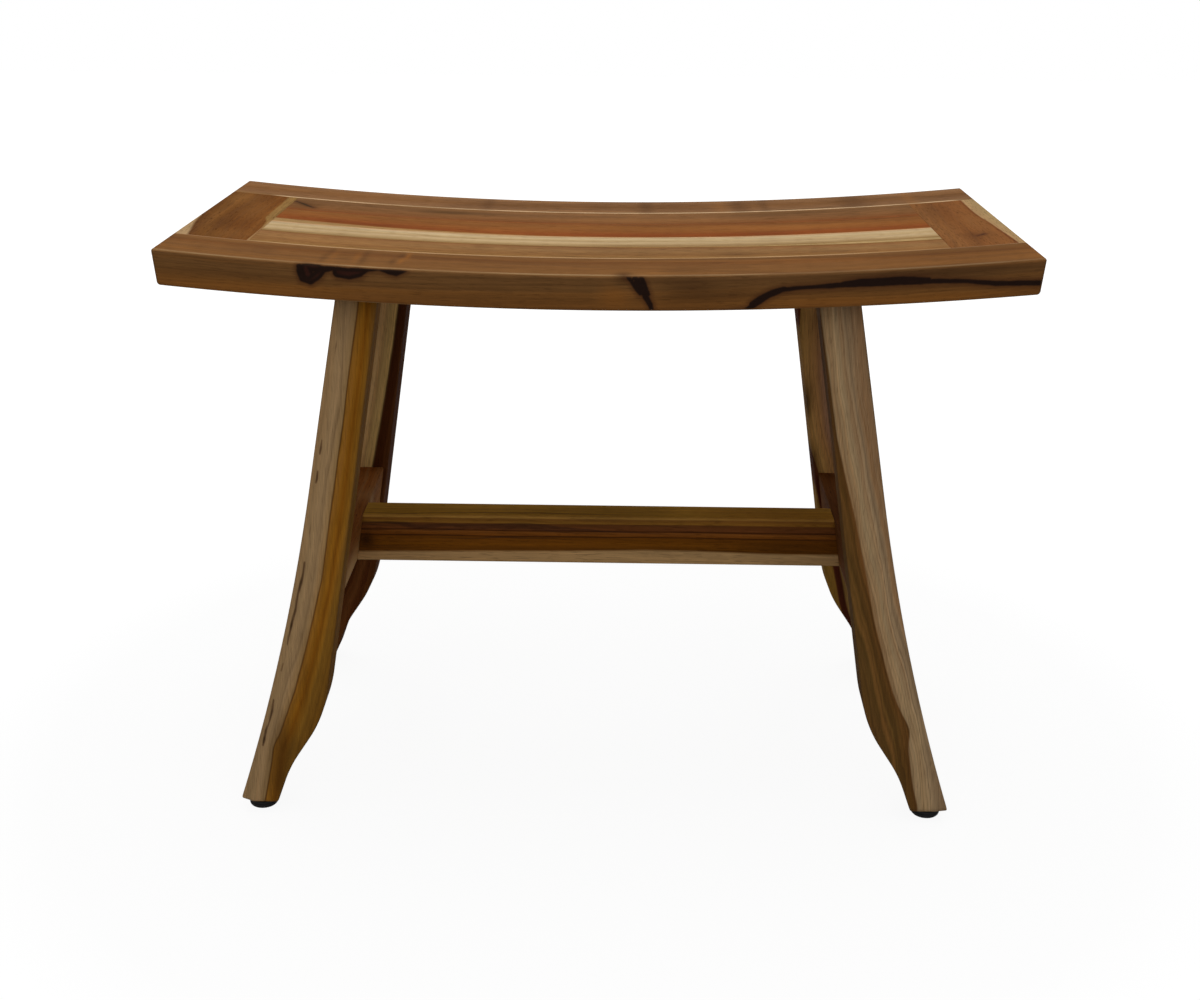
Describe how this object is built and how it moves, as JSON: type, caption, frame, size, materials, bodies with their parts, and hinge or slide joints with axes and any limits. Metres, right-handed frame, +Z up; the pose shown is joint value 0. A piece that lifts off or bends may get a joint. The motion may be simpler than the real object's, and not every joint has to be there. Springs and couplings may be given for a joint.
{
  "type": "shower bench",
  "caption": "Free-standing wooden bench with a concave framed seat, splayed flared legs, an H-shaped stretcher and screw-in levelling feet.",
  "frame": {"origin": "middle of the bench's footprint, on the floor under the foot pads", "axes": "+X along the seat to the right as seen from the front, +Y to the back, +Z up"},
  "size_m": [0.61, 0.305, 0.44],
  "materials": {
    "teak_front_rail": "oiled, satin, with dark mineral streaks",
    "teak_back_rail": "oiled, satin",
    "teak_left_end_board": "oiled, satin",
    "teak_right_end_board": "oiled, satin, with a sapwood edge",
    "teak_brown_strip": "oiled, satin",
    "teak_red_strip": "oiled, satin",
    "teak_cream_strip": "oiled, satin sapwood",
    "teak_tan_strip": "oiled, satin",
    "teak_splines": "planed",
    "hardwood_dowels": "fluted, glued in",
    "teak_cleats": "planed",
    "stainless_screws": "machined",
    "teak_front_left_leg": "oiled, satin, half sapwood and half heartwood",
    "teak_front_right_leg": "oiled, satin, mostly sapwood",
    "teak_back_legs": "oiled, satin",
    "teak_side_stretchers": "oiled, satin",
    "teak_centre_stretcher": "oiled, satin, with a sapwood edge",
    "teak_plugs": "trimmed flush",
    "brass_inserts": "machined",
    "black_rubber_pads": "moulded, matt",
    "stainless_stems": "rolled thread"
  },
  "bodies": {
    "bench": {"seat_front_rail": "teak_front_rail", "seat_back_rail": "teak_back_rail", "seat_left_end_board": "teak_left_end_board", "seat_right_end_board": "teak_right_end_board", "seat_brown_strip": "teak_brown_strip", "seat_red_strip": "teak_red_strip", "seat_cream_strip": "teak_cream_strip", "seat_tan_strip": "teak_tan_strip", "seat_splines": "teak_splines", "end_board_dowels": "hardwood_dowels", "left_cleat": "teak_cleats", "right_cleat": "teak_cleats", "cleat_screws": "stainless_screws", "cleat_dowels": "hardwood_dowels", "front_left_leg": "teak_front_left_leg", "front_right_leg": "teak_front_right_leg", "back_left_leg": "teak_back_legs", "back_right_leg": "teak_back_legs", "leg_dowels": "hardwood_dowels", "left_side_stretcher": "teak_side_stretchers", "right_side_stretcher": "teak_side_stretchers", "centre_stretcher": "teak_centre_stretcher", "stretcher_dowels": "hardwood_dowels", "stretcher_screws": "stainless_screws", "stretcher_plugs": "teak_plugs", "foot_inserts": "brass_inserts"},
    "front_left_pad": {"front_left_pad": "black_rubber_pads"},
    "front_left_stem": {"front_left_stem": "stainless_stems"},
    "front_right_pad": {"front_right_pad": "black_rubber_pads"},
    "front_right_stem": {"front_right_stem": "stainless_stems"},
    "back_left_pad": {"back_left_pad": "black_rubber_pads"},
    "back_left_stem": {"back_left_stem": "stainless_stems"},
    "back_right_pad": {"back_right_pad": "black_rubber_pads"},
    "back_right_stem": {"back_right_stem": "stainless_stems"}
  },
  "joints": [
    {"name": "front_left_foot_lift", "type": "slide", "parent": "bench", "child": "front_left_pad", "axis": [0, 0, -1], "range_m": [0, 0.006]},
    {"name": "front_left_stem_turn", "type": "hinge", "parent": "front_left_pad", "child": "front_left_stem", "pos_m": [-0.25797, -0.13355, 0.01], "axis": [0, 0, -1], "range_deg": [0, 2160]},
    {"name": "front_right_foot_lift", "type": "slide", "parent": "bench", "child": "front_right_pad", "axis": [0, 0, -1], "range_m": [0, 0.006]},
    {"name": "front_right_stem_turn", "type": "hinge", "parent": "front_right_pad", "child": "front_right_stem", "pos_m": [0.25797, -0.13355, 0.01], "axis": [0, 0, -1], "range_deg": [0, 2160]},
    {"name": "back_left_foot_lift", "type": "slide", "parent": "bench", "child": "back_left_pad", "axis": [0, 0, -1], "range_m": [0, 0.006]},
    {"name": "back_left_stem_turn", "type": "hinge", "parent": "back_left_pad", "child": "back_left_stem", "pos_m": [-0.25797, 0.13355, 0.01], "axis": [0, 0, -1], "range_deg": [0, 2160]},
    {"name": "back_right_foot_lift", "type": "slide", "parent": "bench", "child": "back_right_pad", "axis": [0, 0, -1], "range_m": [0, 0.006]},
    {"name": "back_right_stem_turn", "type": "hinge", "parent": "back_right_pad", "child": "back_right_stem", "pos_m": [0.25797, 0.13355, 0.01], "axis": [0, 0, -1], "range_deg": [0, 2160]}
  ],
  "couplings": [
    {"joint": "front_left_stem_turn", "follows": "front_left_foot_lift", "rad_per_m": 6283.2},
    {"joint": "front_right_stem_turn", "follows": "front_right_foot_lift", "rad_per_m": 6283.2},
    {"joint": "back_left_stem_turn", "follows": "back_left_foot_lift", "rad_per_m": 6283.2},
    {"joint": "back_right_stem_turn", "follows": "back_right_foot_lift", "rad_per_m": 6283.2}
  ]
}
